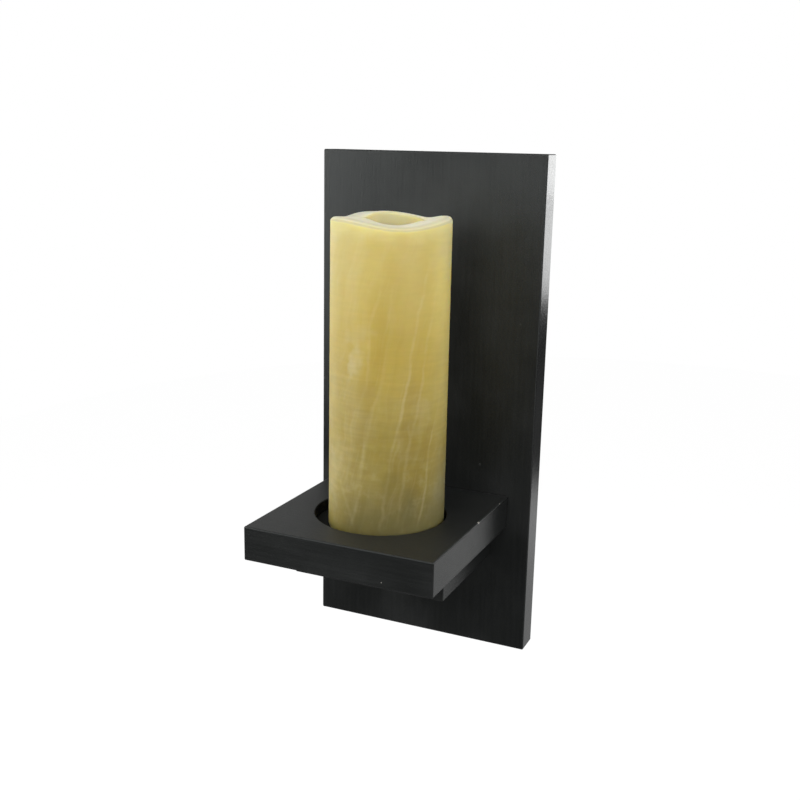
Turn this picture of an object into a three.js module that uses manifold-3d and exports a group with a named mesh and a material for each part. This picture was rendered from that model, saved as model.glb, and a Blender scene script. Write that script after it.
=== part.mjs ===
// A wall sconce for one pillar candle. An upright back plate carries a shelf of two stacked boards, and a carved
// onyx pillar, with a tealight in its hollow top, stands loose in a round recess of the upper board.
//
// Frame, in millimetres: the origin lies on the wall side of the back plate, midway between the two wall screws
// that it hangs on. +Z is up, +X is to the right of someone who faces the wall, and the shelf points along -Y.

import * as THREE from "three";
import { RoundedBoxGeometry } from "three/addons/geometries/RoundedBoxGeometry.js";
import { mergeVertices, toCreasedNormals } from "three/addons/utils/BufferGeometryUtils.js";
import Module from "manifold-3d";

// Back plate
const plateWidth = 164.5;
const plateThickness = 19;
const plateAboveHooks = 50; // upper end above the line of the two wall screws
const plateBelowHooks = 300; // lower end below that line

// Shelf board
const shelfWidth = 132;
const shelfDepth = 136;
const shelfThickness = 23;
const shelfRise = 92; // underside above the plate's lower end

// Support board under the rear of the shelf board
const supportWidth = 109;
const supportDepth = 90;
const supportThickness = 23;

// Boards in general
const edgeRadius = 1; // eased edges
const glueLine = 0.1; // between glued boards

// Recess in the shelf board
const recessDepth = 8;
const recessFromPlate = 70; // centre, in front of the plate
const recessClearance = 5.5; // around the pillar's foot
const recessEdgeRadius = 0.8;

// Onyx pillar
const pillarFootDiameter = 77;
const pillarTopDiameter = 76.5;
const pillarHeight = 203;
const pillarShift = 4; // it stands loose, this far to the right of the recess's centre
const pillarFootChamfer = 1;
const rimEdgeRadius = 3.3;
const mouthEdgeRadius = 3;
const wellDepth = 36;
const wellClearance = 1.3; // around the tealight
const rimBlendDepth = 14; // how far down the carving of the rim fades out

// The rim is carved like melted wax: each lobe lifts or lowers it around one direction, counted from +X.
const rimLobes = [
  { name: "front scoop", degrees: -54, spread: 30, lift: -4.2 },
  { name: "right peak", degrees: 18, spread: 17, lift: 0.9 },
  { name: "rear right dip", degrees: 72, spread: 15, lift: -3.6 },
  { name: "rear left dip", degrees: 167, spread: 15, lift: -2.4 },
  { name: "left shoulder", degrees: -145, spread: 24, lift: -0.5 },
];

// Felt disc under the pillar
const feltDiameter = 66;
const feltThickness = 1;
const restGap = 0.1; // between pieces that only rest on each other

// Tealight
const cupDiameter = 38.4;
const cupFootDiameter = 37.2;
const cupHeight = 17;
const cupWall = 0.4;
const waxDepth = 13.5;
const waxHollow = 0.6; // how far the wax dips towards its middle
const waxHollowShare = 0.6; // share of the wax's radius that lies at that depth
const waxGap = 0.1;
const wickDiameter = 1.8;
const wickAboveWax = 6;
const wickLean = 0.9; // sideways bend of its tip
const tabDiameter = 13;
const tabThickness = 0.4;
const tabTubeDiameter = 3;
const tabTubeHeight = 4;

// Dowels between the plate and the shelf board
const dowelDiameter = 8;
const dowelLength = 30;
const dowelInPlate = 10;
const dowelSpacing = 104;
const dowelRise = 10; // above the shelf board's underside
const dowelChamfer = 1;
const dowelFlutes = 12;
const dowelFluteDepth = 0.25;

// Countersunk screws of the boards
const boardScrewHead = 8;
const boardScrewHeadDepth = 3.4;
const boardScrewShank = 4;
const boardScrewTip = 6;
const boardScrewSink = 0.3; // head below the surface
const screwGap = 0.1; // around a screw or a dowel
const plateScrewLength = 50;
const shelfScrewSpacing = 60;
const shelfScrewRise = 9; // above the shelf board's underside
const supportScrewSpacing = 60;
const supportScrewRise = 11.5; // above the support board's underside
const underScrewLength = 33;
const underScrewSideInset = 14.5;
const underScrewFrontInset = 15;
const underScrewSpacing = 30;

// Heads of all the screws, and their cross recess as shares of the head's diameter
const screwHeadLand = 0.3; // straight rim of the countersunk head
const crossWidthShare = 0.14;
const crossLengthShare = 0.56;
const crossDepthShare = 0.24;

// Keyhole hangers, let in flush in the back of the plate
const hangerSpacing = 90;
const hangerWidth = 16;
const hangerHeight = 54;
const hangerThickness = 1.2;
const hangerAboveHooks = 22;
const hangerSink = 0.2; // steel below the plate's back face
const hangerFit = 0.2; // around the steel
const keyholeEntry = 9;
const keyholeSlot = 4.6;
const keyholeDrop = 12; // entry's centre below the slot's upper end
const headRoomMargin = 2; // pocket around the keyhole
const headRoomDepth = 10;
const hangerScrewInset = 6;
const hangerScrewHead = 5.6;
const hangerScrewHeadDepth = 1.7;
const hangerScrewShank = 2.9;
const hangerScrewLength = 13;
const hangerScrewTip = 3;

// Facets of round shapes
const pillarFacets = 64;
const recessFacets = 72;
const tealightFacets = 36;
const screwFacets = 12;
const roundSteps = 4;
const slotEndSegments = 12;
const edgeSteps = 3;
const through = 1; // how far a cutter sticks out of the surface that it opens
const mergeDistance = 1e-4; // corners this close are one corner
const creaseAngle = 0.5; // radians, above which an edge stays sharp

// Colours of the finishes
const blackPaint = { color: 0x202121, roughness: 0.55, metalness: 0 };
const honeyOnyx = { color: 0xcdb973, roughness: 0.32, metalness: 0 };
const blackFelt = { color: 0x1b1b1c, roughness: 0.95, metalness: 0 };
const beech = { color: 0xc9a678, roughness: 0.7, metalness: 0 };
const zincSteel = { color: 0xb9bcc0, roughness: 0.35, metalness: 1 };
const aluminium = { color: 0xd5d8da, roughness: 0.3, metalness: 1 };
const whiteWax = { color: 0xf1ece0, roughness: 0.45, metalness: 0 };
const cottonWick = { color: 0xe9e2d0, roughness: 0.9, metalness: 0 };

const wasm = await Module();
wasm.setup();

const up = new THREE.Vector3(0, 0, 1);
const sconce = new THREE.Group();

// Places worked out from the sizes above
const plateFront = -plateThickness;
const plateFoot = -plateBelowHooks;
const shelfUnderside = plateFoot + shelfRise;
const shelfTop = shelfUnderside + shelfThickness;
const shelfRear = plateFront - glueLine;
const supportUnderside = shelfUnderside - glueLine - supportThickness;
const supportFront = shelfRear - supportDepth;
const recessRadius = pillarFootDiameter / 2 + recessClearance;
const recessCentre = new THREE.Vector3(0, plateFront - recessFromPlate, shelfTop);
const recessFloor = shelfTop - recessDepth;
const pillarFoot = recessFloor + restGap + feltThickness + restGap;
const pillarPlace = new THREE.Vector3(pillarShift, recessCentre.y, pillarFoot);
const wellRadius = cupDiameter / 2 + wellClearance;
const wellFloor = pillarHeight - wellDepth; // above the pillar's foot
const tealightPlace = new THREE.Vector3(pillarShift, recessCentre.y, pillarFoot + wellFloor + restGap);
const hangerLift = hangerAboveHooks - hangerHeight / 2; // hanger's middle above the line of the wall screws

// Geometry with only positions and shared corners, as a closed solid for cutting and joining
function toSolid(geometry) {
  const bare = geometry.clone();
  bare.deleteAttribute("normal");
  bare.deleteAttribute("uv");
  const merged = mergeVertices(bare, mergeDistance);
  return new wasm.Manifold(
    new wasm.Mesh({
      numProp: 3,
      vertProperties: new Float32Array(merged.attributes.position.array),
      triVerts: new Uint32Array(merged.index.array),
    }),
  );
}

function toGeometry(solid) {
  const made = solid.getMesh();
  const geometry = new THREE.BufferGeometry();
  geometry.setAttribute("position", new THREE.BufferAttribute(made.vertProperties, 3));
  geometry.setIndex(new THREE.BufferAttribute(made.triVerts, 1));
  return toCreasedNormals(geometry, creaseAngle);
}

// Takes every cutter away from a body. The cutters lie in the sconce's frame and the body around its own place.
function cutAway(body, place, cutters) {
  let solid = toSolid(body);
  for (const cutter of cutters) {
    const local = cutter.clone().translate(-place.x, -place.y, -place.z);
    solid = solid.subtract(toSolid(local));
  }
  return toGeometry(solid);
}

function addPiece(name, geometry, finish, place, parent = sconce) {
  const mesh = new THREE.Mesh(geometry, new THREE.MeshStandardMaterial(finish));
  mesh.name = name;
  mesh.position.copy(place);
  parent.add(mesh);
  return mesh;
}

// A body turned around +Z from points [radius, height], listed from its foot to its top
function turned(points, facets) {
  const profile = points.map(([radius, height]) => new THREE.Vector2(radius, height));
  return new THREE.LatheGeometry(profile, facets).rotateX(Math.PI / 2);
}

// Points of a quarter round from one angle to another, in degrees
function arcPoints(centreRadius, centreHeight, radius, fromDegrees, toDegrees) {
  const points = [];
  for (let step = 0; step <= roundSteps; step += 1) {
    const angle = THREE.MathUtils.degToRad(fromDegrees + ((toDegrees - fromDegrees) * step) / roundSteps);
    points.push([centreRadius + radius * Math.cos(angle), centreHeight + radius * Math.sin(angle)]);
  }
  return points;
}

// Countersunk screw along -Z with its head's flat at the origin. A gap makes the hole that it sits in.
function screwBody(head, headDepth, shank, length, tip, gap = 0) {
  const headRadius = head / 2 + gap;
  const shankRadius = shank / 2 + gap;
  const headTop = gap > 0 ? through : 0;
  return turned(
    [
      [0, -length - gap],
      [shankRadius, -length + tip],
      [shankRadius, -headDepth],
      [headRadius, -screwHeadLand - gap],
      [headRadius, headTop],
      [0, headTop],
    ],
    screwFacets,
  );
}

// Cross recess in the head of a screw
function crossRecess(head) {
  const slotWidth = head * crossWidthShare;
  const slotLength = head * crossLengthShare;
  const slotDepth = head * crossDepthShare;
  const slot = new THREE.BoxGeometry(slotLength, slotWidth, 2 * slotDepth);
  return [slot, slot.clone().rotateZ(Math.PI / 2)];
}

function screwWithRecess(head, headDepth, shank, length, tip) {
  const body = screwBody(head, headDepth, shank, length, tip);
  return cutAway(body, new THREE.Vector3(), crossRecess(head));
}

// Turns a body that points along -Z so that it points along the given direction, and moves it to its place.
function aimed(geometry, direction, place) {
  const turn = new THREE.Quaternion().setFromUnitVectors(up.clone().negate(), direction);
  return geometry.clone().applyQuaternion(turn).translate(place.x, place.y, place.z);
}

// Screws of the boards: where each head's flat lies and which way the screw points
const intoShelf = new THREE.Vector3(0, -1, 0);
const screwHeadDepth = -boardScrewSink;
const plateScrews = [];
for (const [side, sign] of [["left", -1], ["right", 1]]) {
  const shelfScrewX = (sign * shelfScrewSpacing) / 2;
  const supportScrewX = (sign * supportScrewSpacing) / 2;
  plateScrews.push({
    name: `shelf_screw_${side}`,
    place: new THREE.Vector3(shelfScrewX, screwHeadDepth, shelfUnderside + shelfScrewRise),
  });
  plateScrews.push({
    name: `support_screw_${side}`,
    place: new THREE.Vector3(supportScrewX, screwHeadDepth, supportUnderside + supportScrewRise),
  });
}

const underScrews = [];
const underScrewX = supportWidth / 2 - underScrewSideInset;
const underScrewFrontY = supportFront + underScrewFrontInset;
for (const row of [0, 1]) {
  for (const sign of [-1, 1]) {
    underScrews.push({
      name: `under_screw_${underScrews.length + 1}`,
      place: new THREE.Vector3(
        sign * underScrewX,
        underScrewFrontY + row * underScrewSpacing,
        supportUnderside + boardScrewSink,
      ),
    });
  }
}

function boardScrewHole(screw, length, direction) {
  const hole = screwBody(
    boardScrewHead, boardScrewHeadDepth, boardScrewShank, length, boardScrewTip, screwGap,
  );
  return aimed(hole, direction, screw.place);
}

const plateScrewHoles = plateScrews.map((screw) => boardScrewHole(screw, plateScrewLength, intoShelf));
const underScrewHoles = underScrews.map((screw) => boardScrewHole(screw, underScrewLength, up));

// Dowel along -Y, from the end in the plate to the end in the shelf board. A gap makes the hole for it, without
// the flutes.
function dowelBody(gap = 0) {
  const radius = dowelDiameter / 2 + gap;
  const length = dowelLength + 2 * gap;
  const dowel = turned(
    [
      [0, 0],
      [radius - dowelChamfer, 0],
      [radius, dowelChamfer],
      [radius, length - dowelChamfer],
      [radius - dowelChamfer, length],
      [0, length],
    ],
    2 * dowelFlutes,
  );
  const corner = dowel.attributes.position;
  const fluteDepth = gap > 0 ? 0 : dowelFluteDepth;
  for (let i = 0; i < corner.count; i += 1) {
    const facet = Math.round((Math.atan2(corner.getY(i), corner.getX(i)) * dowelFlutes) / Math.PI);
    const onSide = Math.hypot(corner.getX(i), corner.getY(i)) > radius - dowelChamfer / 2;
    if (!onSide || facet % 2 === 0) continue;
    const share = 1 - fluteDepth / radius;
    corner.setX(i, corner.getX(i) * share);
    corner.setY(i, corner.getY(i) * share);
  }
  return dowel.translate(0, 0, -gap).rotateX(Math.PI / 2);
}

const dowels = [["left", -1], ["right", 1]].map(([side, sign]) => ({
  name: `shelf_dowel_${side}`,
  place: new THREE.Vector3(
    (sign * dowelSpacing) / 2, plateFront + dowelInPlate, shelfUnderside + dowelRise,
  ),
}));
const dowelHoles = dowels.map(({ place }) =>
  dowelBody(screwGap).translate(place.x, place.y, place.z),
);

// Upright strip with round ends, in the XZ plane around the origin, from y = 0 to y = -depth
function roundedStrip(width, height, depth, holes = []) {
  const radius = width / 2;
  const endCentre = height / 2 - radius;
  const outline = new THREE.Shape();
  outline.moveTo(radius, -endCentre);
  outline.lineTo(radius, endCentre);
  outline.absarc(0, endCentre, radius, 0, Math.PI, false);
  outline.lineTo(-radius, -endCentre);
  outline.absarc(0, -endCentre, radius, Math.PI, 2 * Math.PI, false);
  outline.holes.push(...holes);
  return new THREE.ExtrudeGeometry(outline, {
    depth,
    bevelEnabled: false,
    curveSegments: slotEndSegments,
  }).rotateX(Math.PI / 2);
}

// Keyhole: a round entry below and a narrow slot above it, whose upper end sits on the wall screw
function keyholePath() {
  const slotRadius = keyholeSlot / 2;
  const entryRadius = keyholeEntry / 2;
  const slotEnd = -hangerLift;
  const entryCentre = slotEnd - keyholeDrop;
  const meeting = Math.acos(slotRadius / entryRadius);
  const meetingHeight = entryCentre + entryRadius * Math.sin(meeting);
  const path = new THREE.Path();
  path.moveTo(slotRadius, meetingHeight);
  path.lineTo(slotRadius, slotEnd);
  path.absarc(0, slotEnd, slotRadius, 0, Math.PI, false);
  path.lineTo(-slotRadius, meetingHeight);
  path.absarc(0, entryCentre, entryRadius, Math.PI - meeting, 2 * Math.PI + meeting, false);
  return path;
}

// Hangers and their screws
const hangers = [];
const hangerScrews = [];
const hangerPockets = [];
for (const [side, sign] of [["left", -1], ["right", 1]]) {
  const hangerX = (sign * hangerSpacing) / 2;
  const place = new THREE.Vector3(hangerX, -hangerSink, hangerLift);
  hangers.push({ name: `hanger_${side}`, place });
  const steelPocket = roundedStrip(
    hangerWidth + 2 * hangerFit,
    hangerHeight + 2 * hangerFit,
    hangerSink + hangerThickness + restGap + through,
  ).translate(hangerX, through, hangerLift);
  const headWidth = keyholeEntry + 2 * headRoomMargin;
  const headRoom = roundedStrip(headWidth, keyholeDrop + headWidth, headRoomDepth + through).translate(
    hangerX, through, -keyholeDrop / 2,
  );
  hangerPockets.push(steelPocket, headRoom);
  for (const end of [1, -1]) {
    hangerScrews.push({
      name: `hanger_screw_${hangerScrews.length + 1}`,
      place: new THREE.Vector3(
        hangerX, -hangerSink, hangerLift + end * (hangerHeight / 2 - hangerScrewInset),
      ),
    });
  }
}

function hangerScrewHole(screw) {
  const hole = screwBody(
    hangerScrewHead, hangerScrewHeadDepth, hangerScrewShank, hangerScrewLength, hangerScrewTip, screwGap,
  );
  return aimed(hole, intoShelf, screw.place);
}

const hangerScrewHoles = hangerScrews.map(hangerScrewHole);

// Boards
function addBackPlate() {
  const height = plateAboveHooks + plateBelowHooks;
  const place = new THREE.Vector3(0, -plateThickness / 2, plateAboveHooks - height / 2);
  const board = new RoundedBoxGeometry(plateWidth, plateThickness, height, edgeSteps, edgeRadius);
  const cutters = [...hangerPockets, ...hangerScrewHoles, ...plateScrewHoles, ...dowelHoles];
  addPiece("back_plate", cutAway(board, place, cutters), blackPaint, place);
}

function addShelfBoard() {
  const place = new THREE.Vector3(0, shelfRear - shelfDepth / 2, shelfUnderside + shelfThickness / 2);
  const board = new RoundedBoxGeometry(shelfWidth, shelfDepth, shelfThickness, edgeSteps, edgeRadius);
  const recess = turned(
    [
      [0, -recessDepth],
      [recessRadius, -recessDepth],
      ...arcPoints(recessRadius + recessEdgeRadius, -recessEdgeRadius, recessEdgeRadius, 180, 90),
      [recessRadius + recessEdgeRadius, through],
      [0, through],
    ],
    recessFacets,
  ).translate(recessCentre.x, recessCentre.y, recessCentre.z);
  const cutters = [recess, ...plateScrewHoles, ...dowelHoles, ...underScrewHoles];
  addPiece("shelf_board", cutAway(board, place, cutters), blackPaint, place);
}

function addSupportBoard() {
  const place = new THREE.Vector3(
    0, shelfRear - supportDepth / 2, supportUnderside + supportThickness / 2,
  );
  const board = new RoundedBoxGeometry(
    supportWidth, supportDepth, supportThickness, edgeSteps, edgeRadius,
  );
  const cutters = [...plateScrewHoles, ...underScrewHoles];
  addPiece("support_board", cutAway(board, place, cutters), blackPaint, place);
}

// Fasteners
function addScrews() {
  const plateScrew = screwWithRecess(
    boardScrewHead, boardScrewHeadDepth, boardScrewShank, plateScrewLength, boardScrewTip,
  );
  const underScrew = screwWithRecess(
    boardScrewHead, boardScrewHeadDepth, boardScrewShank, underScrewLength, boardScrewTip,
  );
  const hangerScrew = screwWithRecess(
    hangerScrewHead, hangerScrewHeadDepth, hangerScrewShank, hangerScrewLength, hangerScrewTip,
  );
  const origin = new THREE.Vector3();
  for (const { name, place } of plateScrews) {
    addPiece(name, aimed(plateScrew, intoShelf, origin), zincSteel, place);
  }
  for (const { name, place } of underScrews) {
    addPiece(name, aimed(underScrew, up, origin), zincSteel, place);
  }
  for (const { name, place } of hangerScrews) {
    addPiece(name, aimed(hangerScrew, intoShelf, origin), zincSteel, place);
  }
}

function addDowels() {
  for (const { name, place } of dowels) {
    addPiece(name, dowelBody(), beech, place);
  }
}

function addHangers() {
  for (const { name, place } of hangers) {
    const steel = roundedStrip(hangerWidth, hangerHeight, hangerThickness, [keyholePath()]);
    addPiece(name, cutAway(steel, place, hangerScrewHoles), zincSteel, place);
  }
}

// How much the carving lifts the rim in a direction, in radians from +X
function rimLift(angle) {
  let lift = 0;
  for (const lobe of rimLobes) {
    const away = THREE.MathUtils.radToDeg(angle) - lobe.degrees;
    const turnedBack = THREE.MathUtils.euclideanModulo(away + 180, 360) - 180;
    lift += lobe.lift * Math.exp(-0.5 * (turnedBack / lobe.spread) ** 2);
  }
  return lift;
}

// Pillar with a hollow in its top, turned first and then carved at the rim
function addPillar() {
  const footRadius = pillarFootDiameter / 2;
  const topRadius = pillarTopDiameter / 2;
  const blendStart = pillarHeight - rimBlendDepth;
  const topEdgeRadius = Math.min(rimEdgeRadius, (topRadius - wellRadius) / 2);
  const innerEdgeRadius = Math.min(mouthEdgeRadius, (topRadius - wellRadius) / 2);
  const pillar = turned(
    [
      [0, 0],
      [footRadius - pillarFootChamfer, 0],
      [footRadius, pillarFootChamfer],
      [topRadius, blendStart],
      [topRadius, (blendStart + pillarHeight - topEdgeRadius) / 2],
      ...arcPoints(topRadius - topEdgeRadius, pillarHeight - topEdgeRadius, topEdgeRadius, 0, 90),
      ...arcPoints(wellRadius + innerEdgeRadius, pillarHeight - innerEdgeRadius, innerEdgeRadius, 90, 180),
      [wellRadius, (blendStart + pillarHeight - innerEdgeRadius) / 2],
      [wellRadius, blendStart],
      [wellRadius, wellFloor],
      [0, wellFloor],
    ],
    pillarFacets,
  );
  const corner = pillar.attributes.position;
  for (let i = 0; i < corner.count; i += 1) {
    const height = corner.getZ(i);
    const share = THREE.MathUtils.smoothstep(height, blendStart, pillarHeight);
    const angle = Math.atan2(corner.getY(i), corner.getX(i));
    corner.setZ(i, height + share * rimLift(angle));
  }
  addPiece("stone_pillar", toGeometry(toSolid(pillar)), honeyOnyx, pillarPlace);
}

function addFelt() {
  const radius = feltDiameter / 2;
  const felt = turned([[0, 0], [radius, 0], [radius, feltThickness], [0, feltThickness]], tealightFacets);
  addPiece("pillar_felt", felt, blackFelt, new THREE.Vector3(pillarShift, recessCentre.y, recessFloor + restGap));
}

// Tealight: thin cup, wax with a recess for the wick's tab, tab with a crimped tube, and wick
function addTealight() {
  const cupRadius = cupDiameter / 2;
  const footRadius = cupFootDiameter / 2;
  const tabRadius = tabDiameter / 2;
  const tubeRadius = tabTubeDiameter / 2;
  const wickRadius = wickDiameter / 2;
  const tabBase = cupWall + waxGap;
  const tabTop = tabBase + tabThickness;
  const tubeTop = tabTop + tabTubeHeight;
  const waxTop = cupWall + waxDepth;
  const cupSlope = (cupRadius - footRadius) / cupHeight;
  const insideRadius = (height) => footRadius + cupSlope * height - cupWall;

  const cup = turned(
    [
      [0, 0],
      [footRadius, 0],
      [cupRadius, cupHeight],
      [cupRadius - cupWall, cupHeight],
      [insideRadius(cupWall), cupWall],
      [0, cupWall],
    ],
    tealightFacets,
  );
  addPiece("tealight_cup", cup, aluminium, tealightPlace);

  const tab = turned(
    [
      [wickRadius + waxGap, tabBase],
      [tabRadius, tabBase],
      [tabRadius, tabTop],
      [tubeRadius, tabTop],
      [tubeRadius, tubeTop],
      [wickRadius + waxGap, tubeTop],
      [wickRadius + waxGap, tabBase],
    ],
    tealightFacets / 2,
  );
  addPiece("wick_tab", tab, zincSteel, tealightPlace);

  const wax = turned(
    [
      [tabRadius + waxGap, cupWall + waxGap],
      [insideRadius(cupWall) - waxGap, cupWall + waxGap],
      [insideRadius(waxTop) - waxGap, waxTop],
      [insideRadius(waxTop) * waxHollowShare, waxTop - waxHollow],
      [wickRadius + waxGap, waxTop - waxHollow],
      [wickRadius + waxGap, tubeTop + waxGap],
      [tubeRadius + waxGap, tubeTop + waxGap],
      [tubeRadius + waxGap, tabTop + waxGap],
      [tabRadius + waxGap, tabTop + waxGap],
      [tabRadius + waxGap, cupWall + waxGap],
    ],
    tealightFacets,
  );
  addPiece("tealight_wax", wax, whiteWax, tealightPlace);

  const straightTop = waxTop - waxHollow;
  const wickPath = new THREE.CatmullRomCurve3([
    new THREE.Vector3(0, 0, tabBase),
    new THREE.Vector3(0, 0, straightTop / 2),
    new THREE.Vector3(0, 0, straightTop),
    new THREE.Vector3(wickLean / 3, 0, straightTop + wickAboveWax / 2),
    new THREE.Vector3(wickLean, 0, straightTop + wickAboveWax),
  ]);
  const wickSection = new THREE.Shape().absarc(0, 0, wickRadius, 0, 2 * Math.PI, false);
  const wick = new THREE.ExtrudeGeometry(wickSection, {
    steps: 16,
    extrudePath: wickPath,
    curveSegments: 5,
    bevelEnabled: false,
  });
  addPiece("wick", toGeometry(toSolid(wick)), cottonWick, tealightPlace);
}

addBackPlate();
addShelfBoard();
addSupportBoard();
addDowels();
addScrews();
addHangers();
addPillar();
addFelt();
addTealight();

export default sconce;
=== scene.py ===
# Looks of a wall sconce for one pillar candle: black painted boards, a carved onyx pillar, a tealight.
# Everything is in metres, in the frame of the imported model.
import math

import bmesh
import bpy
from mathutils import Matrix, Vector


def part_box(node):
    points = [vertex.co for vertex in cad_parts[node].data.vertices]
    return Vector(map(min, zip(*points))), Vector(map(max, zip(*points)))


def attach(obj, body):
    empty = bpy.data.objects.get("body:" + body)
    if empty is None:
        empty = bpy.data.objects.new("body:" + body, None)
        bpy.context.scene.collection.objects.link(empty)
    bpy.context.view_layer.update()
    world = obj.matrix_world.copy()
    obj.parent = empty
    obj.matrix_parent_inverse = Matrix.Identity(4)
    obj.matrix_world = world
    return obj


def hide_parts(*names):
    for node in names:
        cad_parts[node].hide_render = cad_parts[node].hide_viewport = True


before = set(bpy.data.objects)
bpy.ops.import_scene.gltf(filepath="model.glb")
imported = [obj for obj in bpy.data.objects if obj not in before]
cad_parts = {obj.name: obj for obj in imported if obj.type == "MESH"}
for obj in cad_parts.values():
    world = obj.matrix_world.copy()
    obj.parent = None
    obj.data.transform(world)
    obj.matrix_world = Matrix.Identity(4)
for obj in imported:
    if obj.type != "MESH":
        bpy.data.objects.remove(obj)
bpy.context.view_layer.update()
scene = bpy.context.scene
mm = 0.001
print("frame loaded,", len(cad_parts), "nodes")

cameraLook = {
    "place": (0.28439, -0.69450, 0.05700),
    "turnLeft": 24.198,  # degrees, from looking along +Y
    "tiltDown": 13.838,
    "roll": 1.171,
    "lens": 47.471,
    "sensor": 36.0,
    "nearest": 0.01,
}


def placeCamera(look):
    data = bpy.data.cameras.new("camera")
    data.lens = look["lens"]
    data.sensor_width = look["sensor"]
    data.clip_start = look["nearest"]
    camera = bpy.data.objects.new("camera", data)
    scene.collection.objects.link(camera)
    turned = (
        Matrix.Rotation(math.radians(look["turnLeft"]), 4, "Z")
        @ Matrix.Rotation(math.radians(90 - look["tiltDown"]), 4, "X")
        @ Matrix.Rotation(math.radians(look["roll"]), 4, "Z")
    )
    camera.matrix_world = Matrix.Translation(look["place"]) @ turned
    scene.camera = camera


# Small helpers for node trees, shader and geometry alike
class Wire:
    # A node's output that can be reckoned with: each sign adds a math node to the same tree
    def __init__(self, socket):
        self.socket = socket
        self.tree = socket.id_data

    def into(self, target):
        self.tree.links.new(self.socket, target)

    def __add__(self, other):
        return calc("ADD", self, other)

    def __sub__(self, other):
        return calc("SUBTRACT", self, other)

    def __rsub__(self, other):
        return calc("SUBTRACT", other, self)

    def __mul__(self, other):
        return calc("MULTIPLY", self, other)

    def __truediv__(self, other):
        return calc("DIVIDE", self, other)

    def __abs__(self):
        return calc("ABSOLUTE", self)


def addNode(tree, kind, inputs=None, **settings):
    made = tree.nodes.new(kind)
    place = len(tree.nodes)
    made.location = (place % 12 * 190, -(place // 12) * 260)
    for name, value in settings.items():
        setattr(made, name, value)
    for key, value in (inputs or {}).items():
        if isinstance(value, Wire):
            value.into(made.inputs[key])
        else:
            made.inputs[key].default_value = value
    return made


def wire(tree, kind, inputs=None, output=0, **settings):
    # Adds a node and gives one of its outputs
    return Wire(addNode(tree, kind, inputs, **settings).outputs[output])


def wires(tree, kind, inputs=None, **settings):
    # Adds a node and gives all its outputs by name
    made = addNode(tree, kind, inputs, **settings)
    return {socket.name: Wire(socket) for socket in made.outputs if socket.name}


def treeOf(values):
    return next(value.tree for value in values if isinstance(value, Wire))


def calc(operation, *values):
    return wire(treeOf(values), "ShaderNodeMath", dict(enumerate(values)), operation=operation)


def vectorCalc(operation, *values):
    output = "Value" if operation in ("DOT_PRODUCT", "LENGTH", "DISTANCE") else "Vector"
    return wire(
        treeOf(values), "ShaderNodeVectorMath", dict(enumerate(values)), output, operation=operation,
    )


def scaled(vector, amount):
    return wire(vector.tree, "ShaderNodeVectorMath", {0: vector, "Scale": amount}, operation="SCALE")


def split(vector):
    return list(wires(vector.tree, "ShaderNodeSeparateXYZ", {0: vector}).values())


def joined(*parts):
    return wire(treeOf(parts), "ShaderNodeCombineXYZ", dict(enumerate(parts)))


def offAxis(place):
    # Distance from the Z axis
    return vectorCalc("LENGTH", vectorCalc("MULTIPLY", place, (1, 1, 0)))


def ramp(value, fromLow, fromHigh, toLow=0.0, toHigh=1.0):
    sizes = {"Value": value, "From Min": fromLow, "From Max": fromHigh, "To Min": toLow, "To Max": toHigh}
    return wire(value.tree, "ShaderNodeMapRange", sizes, interpolation_type="SMOOTHSTEP")


def noiseAt(vector, scale, detail=2.0, roughness=0.5):
    sizes = {"Vector": vector, "Scale": scale, "Detail": detail, "Roughness": roughness}
    return wire(vector.tree, "ShaderNodeTexNoise", sizes)


def swing(vector, scale, detail, reach):
    # Noise to both sides of zero
    return (noiseAt(vector, scale, detail) - 0.5) * reach


def mixColour(share, first, second):
    return wire(share.tree, "ShaderNodeMix", {0: share, 6: first, 7: second}, 2, data_type="RGBA")


def mixNumber(share, first, second):
    return wire(share.tree, "ShaderNodeMix", {0: share, 2: first, 3: second}, data_type="FLOAT")


def colour(red, green, blue):
    return (red, green, blue, 1.0)


def objectPlace(tree):
    return wire(tree, "ShaderNodeTexCoord", output="Object")


def facingOf(tree):
    return split(wire(tree, "ShaderNodeTexCoord", output="Normal"))


socketKinds = {float: "NodeSocketFloat", int: "NodeSocketInt", tuple: "NodeSocketVector"}


def newGroup(name, inputs, outputs, kind="ShaderNodeTree"):
    # An input is given by its first value, or by its kind where it has none.
    tree = bpy.data.node_groups.new(name, kind)
    for socketName, value in inputs.items():
        socketKind = socketKinds.get(type(value), value)
        socket = tree.interface.new_socket(socketName, in_out="INPUT", socket_type=socketKind)
        if socketKind != value:
            socket.default_value = value
    for socketName in outputs:
        socketKind = "NodeSocketFloat" if kind == "ShaderNodeTree" else "NodeSocketGeometry"
        tree.interface.new_socket(socketName, in_out="OUTPUT", socket_type=socketKind)
    return tree, wires(tree, "NodeGroupInput"), addNode(tree, "NodeGroupOutput").inputs


def spaced(values):
    return {name.replace("_", " "): value for name, value in values.items()}


def useGroup(tree, group, **inputs):
    kind = "ShaderNodeGroup" if tree.bl_idname == "ShaderNodeTree" else "GeometryNodeGroup"
    return wires(tree, kind, spaced(inputs), node_tree=group)


def grainOf(tree, stretch, scale, patchScale, **more):
    return useGroup(tree, groups["grain"], Stretch=stretch, Scale=scale, Patch_Scale=patchScale, **more)


# Shader groups that several finishes share
groupLook = {
    "edgeNoise": (90.0, 3.0),  # scale and detail
    "edgeBreaks": (0.35, 0.65),  # the range of noise in which the marking fades
    "patchDetail": 3.0,
    "patchRange": (0.3, 0.7),
    "spotNoise": (1400.0, 2.0),
    "spotFade": (1.0, 0.7),
}


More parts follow.
